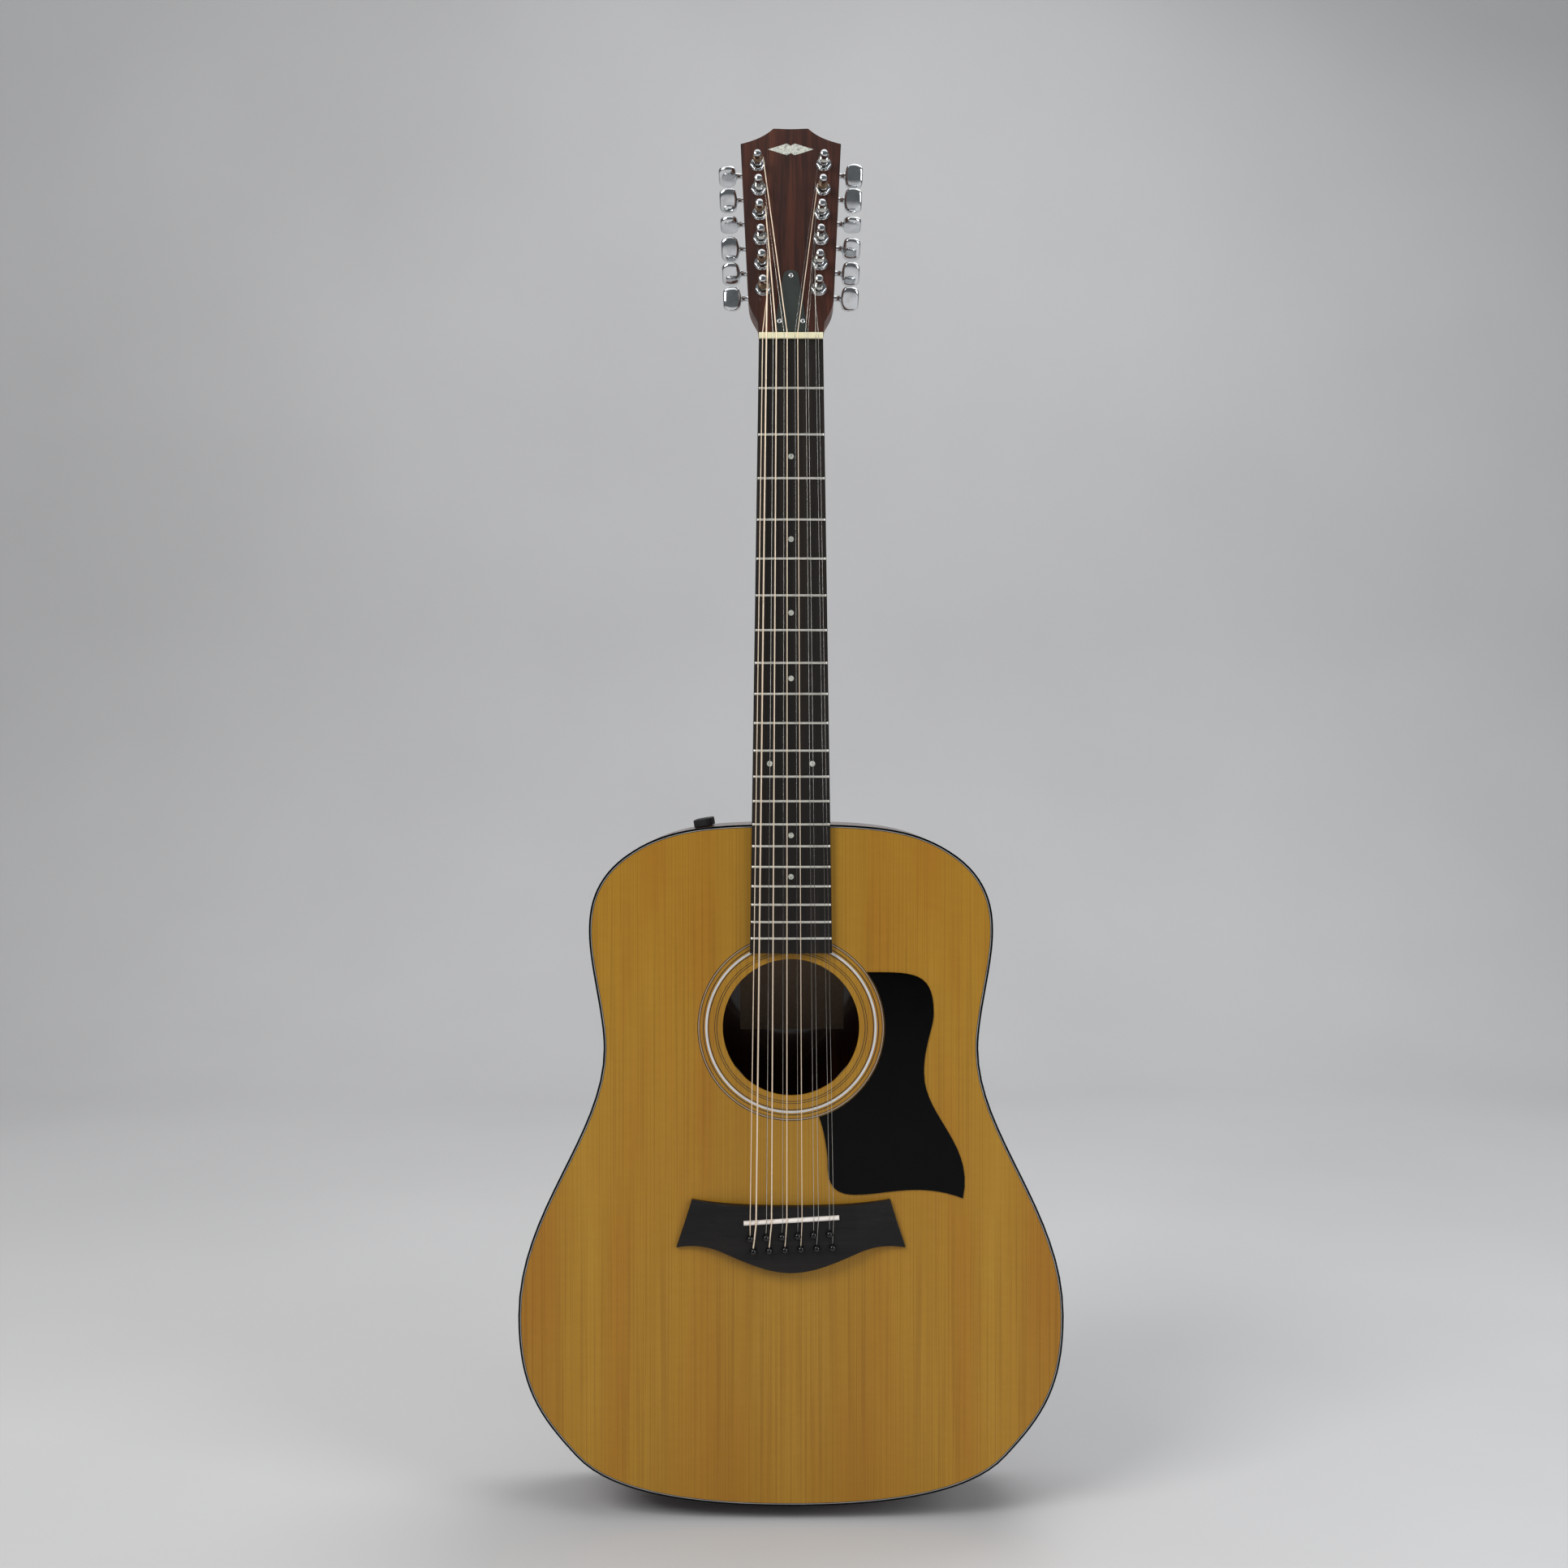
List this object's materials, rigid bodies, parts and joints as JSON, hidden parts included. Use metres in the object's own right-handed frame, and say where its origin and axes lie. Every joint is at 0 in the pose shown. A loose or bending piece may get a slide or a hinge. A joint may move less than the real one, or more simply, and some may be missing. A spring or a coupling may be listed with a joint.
{
  "type": "acoustic guitar",
  "caption": "Steel-string dreadnought acoustic guitar with paired strings: hollow arched-back body, bolt-on neck, tilted head with geared tuners, pinned bridge and side-mounted controls.",
  "frame": {"origin": "bottom centre of the bounding box, at the outer face of the strap pin on the tail", "axes": "+X to the treble side, +Y from the soundboard towards the back, +Z from the tail up the neck; the front faces -Y"},
  "size_m": [0.4064, 0.1298, 1.0548],
  "materials": {
    "spruce_top": "gloss lacquer over aged spruce",
    "raw_spruce": "bare",
    "mahogany": "gloss lacquer",
    "neck_mahogany": "satin lacquer",
    "raw_mahogany": "bare",
    "rosewood": "gloss lacquer",
    "ebony": "satin, oiled",
    "black_binding": "gloss",
    "black_pickguard": "gloss",
    "black_plastic": "matt",
    "bone": "polished, cream white",
    "chrome": "polished",
    "steel": "machined",
    "plain_string": "bright wire",
    "bronze_string": "bright bronze winding",
    "nickel_fret": "polished",
    "inlay": "pearl",
    "rosette_trim": "white and black plastic lines",
    "pin_plastic": "gloss",
    "label_paper": "paper"
  },
  "bodies": {
    "instrument": {"soundboard": "spruce_top", "back_plate": "mahogany", "sides": "mahogany", "binding_front": "black_binding", "binding_back": "black_binding", "neck_block": "raw_mahogany", "tail_block": "raw_mahogany", "top_bracing": "raw_spruce", "endpin_jack": "chrome", "preamp": "black_plastic", "neck": "neck_mahogany", "truss_rod": "steel", "fretboard": "ebony", "nut": "bone", "headstock_overlay": "rosewood", "truss_rod_cover": "black_plastic", "tuner_housings_bass": "chrome", "tuner_housings_treble": "chrome", "bridge": "ebony", "saddle": "bone", "pickguard": "black_pickguard", "string_low_e_octave": "bronze_string", "string_low_e": "bronze_string", "string_a_octave": "plain_string", "string_a": "bronze_string", "string_d_octave": "plain_string", "string_d": "bronze_string", "string_g_octave": "plain_string", "string_g": "bronze_string", "string_b_first": "plain_string", "string_b_second": "plain_string", "string_high_e_first": "plain_string", "string_high_e_second": "plain_string"},
    "tuner_knob_bass_1": {"tuner_knob_bass_1": "chrome"},
    "tuner_post_bass_1": {"tuner_post_bass_1": "chrome"},
    "tuner_knob_bass_2": {"tuner_knob_bass_2": "chrome"},
    "tuner_post_bass_2": {"tuner_post_bass_2": "chrome"},
    "tuner_knob_bass_3": {"tuner_knob_bass_3": "chrome"},
    "tuner_post_bass_3": {"tuner_post_bass_3": "chrome"},
    "tuner_knob_bass_4": {"tuner_knob_bass_4": "chrome"},
    "tuner_post_bass_4": {"tuner_post_bass_4": "chrome"},
    "tuner_knob_bass_5": {"tuner_knob_bass_5": "chrome"},
    "tuner_post_bass_5": {"tuner_post_bass_5": "chrome"},
    "tuner_knob_bass_6": {"tuner_knob_bass_6": "chrome"},
    "tuner_post_bass_6": {"tuner_post_bass_6": "chrome"},
    "tuner_knob_treble_1": {"tuner_knob_treble_1": "chrome"},
    "tuner_post_treble_1": {"tuner_post_treble_1": "chrome"},
    "tuner_knob_treble_2": {"tuner_knob_treble_2": "chrome"},
    "tuner_post_treble_2": {"tuner_post_treble_2": "chrome"},
    "tuner_knob_treble_3": {"tuner_knob_treble_3": "chrome"},
    "tuner_post_treble_3": {"tuner_post_treble_3": "chrome"},
    "tuner_knob_treble_4": {"tuner_knob_treble_4": "chrome"},
    "tuner_post_treble_4": {"tuner_post_treble_4": "chrome"},
    "tuner_knob_treble_5": {"tuner_knob_treble_5": "chrome"},
    "tuner_post_treble_5": {"tuner_post_treble_5": "chrome"},
    "tuner_knob_treble_6": {"tuner_knob_treble_6": "chrome"},
    "tuner_post_treble_6": {"tuner_post_treble_6": "chrome"},
    "volume_knob": {"volume_knob": "black_plastic"},
    "treble_knob": {"treble_knob": "black_plastic"},
    "bass_knob": {"bass_knob": "black_plastic"}
  },
  "joints": [
    {"name": "tuner_knob_bass_1_turn", "type": "hinge", "parent": "instrument", "child": "tuner_knob_bass_1", "pos_m": [-0.02115, -0.02061, 0.91996], "axis": [-0.9989, -0.0127, -0.0444], "continuous": true},
    {"name": "tuner_post_bass_1_turn", "type": "hinge", "parent": "instrument", "child": "tuner_post_bass_1", "pos_m": [-0.0209, -0.04082, 0.92025], "axis": [0, -0.9613, 0.2756], "continuous": true},
    {"name": "tuner_knob_bass_2_turn", "type": "hinge", "parent": "instrument", "child": "tuner_knob_bass_2", "pos_m": [-0.02202, -0.01469, 0.94063], "axis": [-0.9989, -0.0127, -0.0444], "continuous": true},
    {"name": "tuner_post_bass_2_turn", "type": "hinge", "parent": "instrument", "child": "tuner_post_bass_2", "pos_m": [-0.02178, -0.03489, 0.94091], "axis": [0, -0.9613, 0.2756], "continuous": true},
    {"name": "tuner_knob_bass_3_turn", "type": "hinge", "parent": "instrument", "child": "tuner_knob_bass_3", "pos_m": [-0.0229, -0.00876, 0.96129], "axis": [-0.9989, -0.0127, -0.0444], "continuous": true},
    {"name": "tuner_post_bass_3_turn", "type": "hinge", "parent": "instrument", "child": "tuner_post_bass_3", "pos_m": [-0.02266, -0.02896, 0.96158], "axis": [0, -0.9613, 0.2756], "continuous": true},
    {"name": "tuner_knob_bass_4_turn", "type": "hinge", "parent": "instrument", "child": "tuner_knob_bass_4", "pos_m": [-0.02379, -0.00283, 0.98196], "axis": [-0.9989, -0.0127, -0.0444], "continuous": true},
    {"name": "tuner_post_bass_4_turn", "type": "hinge", "parent": "instrument", "child": "tuner_post_bass_4", "pos_m": [-0.02354, -0.02304, 0.98225], "axis": [0, -0.9613, 0.2756], "continuous": true},
    {"name": "tuner_knob_bass_5_turn", "type": "hinge", "parent": "instrument", "child": "tuner_knob_bass_5", "pos_m": [-0.02466, 0.00309, 1.00263], "axis": [-0.9989, -0.0127, -0.0444], "continuous": true},
    {"name": "tuner_post_bass_5_turn", "type": "hinge", "parent": "instrument", "child": "tuner_post_bass_5", "pos_m": [-0.02442, -0.01711, 1.00291], "axis": [0, -0.9613, 0.2756], "continuous": true},
    {"name": "tuner_knob_bass_6_turn", "type": "hinge", "parent": "instrument", "child": "tuner_knob_bass_6", "pos_m": [-0.02555, 0.00902, 1.0233], "axis": [-0.9989, -0.0127, -0.0444], "continuous": true},
    {"name": "tuner_post_bass_6_turn", "type": "hinge", "parent": "instrument", "child": "tuner_post_bass_6", "pos_m": [-0.0253, -0.01119, 1.02358], "axis": [0, -0.9613, 0.2756], "continuous": true},
    {"name": "tuner_knob_treble_1_turn", "type": "hinge", "parent": "instrument", "child": "tuner_knob_treble_1", "pos_m": [0.02115, -0.02061, 0.91996], "axis": [0.9989, -0.0127, -0.0444], "continuous": true},
    {"name": "tuner_post_treble_1_turn", "type": "hinge", "parent": "instrument", "child": "tuner_post_treble_1", "pos_m": [0.0209, -0.04082, 0.92025], "axis": [0, -0.9613, 0.2756], "continuous": true},
    {"name": "tuner_knob_treble_2_turn", "type": "hinge", "parent": "instrument", "child": "tuner_knob_treble_2", "pos_m": [0.02202, -0.01469, 0.94063], "axis": [0.9989, -0.0127, -0.0444], "continuous": true},
    {"name": "tuner_post_treble_2_turn", "type": "hinge", "parent": "instrument", "child": "tuner_post_treble_2", "pos_m": [0.02178, -0.03489, 0.94091], "axis": [0, -0.9613, 0.2756], "continuous": true},
    {"name": "tuner_knob_treble_3_turn", "type": "hinge", "parent": "instrument", "child": "tuner_knob_treble_3", "pos_m": [0.0229, -0.00876, 0.96129], "axis": [0.9989, -0.0127, -0.0444], "continuous": true},
    {"name": "tuner_post_treble_3_turn", "type": "hinge", "parent": "instrument", "child": "tuner_post_treble_3", "pos_m": [0.02266, -0.02896, 0.96158], "axis": [0, -0.9613, 0.2756], "continuous": true},
    {"name": "tuner_knob_treble_4_turn", "type": "hinge", "parent": "instrument", "child": "tuner_knob_treble_4", "pos_m": [0.02379, -0.00283, 0.98196], "axis": [0.9989, -0.0127, -0.0444], "continuous": true},
    {"name": "tuner_post_treble_4_turn", "type": "hinge", "parent": "instrument", "child": "tuner_post_treble_4", "pos_m": [0.02354, -0.02304, 0.98225], "axis": [0, -0.9613, 0.2756], "continuous": true},
    {"name": "tuner_knob_treble_5_turn", "type": "hinge", "parent": "instrument", "child": "tuner_knob_treble_5", "pos_m": [0.02466, 0.00309, 1.00263], "axis": [0.9989, -0.0127, -0.0444], "continuous": true},
    {"name": "tuner_post_treble_5_turn", "type": "hinge", "parent": "instrument", "child": "tuner_post_treble_5", "pos_m": [0.02442, -0.01711, 1.00291], "axis": [0, -0.9613, 0.2756], "continuous": true},
    {"name": "tuner_knob_treble_6_turn", "type": "hinge", "parent": "instrument", "child": "tuner_knob_treble_6", "pos_m": [0.02555, 0.00902, 1.0233], "axis": [0.9989, -0.0127, -0.0444], "continuous": true},
    {"name": "tuner_post_treble_6_turn", "type": "hinge", "parent": "instrument", "child": "tuner_post_treble_6", "pos_m": [0.0253, -0.01119, 1.02358], "axis": [0, -0.9613, 0.2756], "continuous": true},
    {"name": "volume_knob_turn", "type": "hinge", "parent": "instrument", "child": "volume_knob", "pos_m": [-0.066, -0.02459, 0.51704], "axis": [-0.165, 0, 0.9863], "range_deg": [-140, 140]},
    {"name": "treble_knob_turn", "type": "hinge", "parent": "instrument", "child": "treble_knob", "pos_m": [-0.066, -0.00459, 0.51704], "axis": [-0.165, 0, 0.9863], "range_deg": [-140, 140]},
    {"name": "bass_knob_turn", "type": "hinge", "parent": "instrument", "child": "bass_knob", "pos_m": [-0.066, 0.01541, 0.51704], "axis": [-0.165, 0, 0.9863], "range_deg": [-140, 140]}
  ],
  "couplings": [
    {"joint": "tuner_post_bass_1_turn", "follows": "tuner_knob_bass_1_turn", "ratio": 0.071429},
    {"joint": "tuner_post_bass_2_turn", "follows": "tuner_knob_bass_2_turn", "ratio": 0.071429},
    {"joint": "tuner_post_bass_3_turn", "follows": "tuner_knob_bass_3_turn", "ratio": 0.071429},
    {"joint": "tuner_post_bass_4_turn", "follows": "tuner_knob_bass_4_turn", "ratio": 0.071429},
    {"joint": "tuner_post_bass_5_turn", "follows": "tuner_knob_bass_5_turn", "ratio": 0.071429},
    {"joint": "tuner_post_bass_6_turn", "follows": "tuner_knob_bass_6_turn", "ratio": 0.071429},
    {"joint": "tuner_post_treble_1_turn", "follows": "tuner_knob_treble_1_turn", "ratio": 0.071429},
    {"joint": "tuner_post_treble_2_turn", "follows": "tuner_knob_treble_2_turn", "ratio": 0.071429},
    {"joint": "tuner_post_treble_3_turn", "follows": "tuner_knob_treble_3_turn", "ratio": 0.071429},
    {"joint": "tuner_post_treble_4_turn", "follows": "tuner_knob_treble_4_turn", "ratio": 0.071429},
    {"joint": "tuner_post_treble_5_turn", "follows": "tuner_knob_treble_5_turn", "ratio": 0.071429},
    {"joint": "tuner_post_treble_6_turn", "follows": "tuner_knob_treble_6_turn", "ratio": 0.071429}
  ]
}
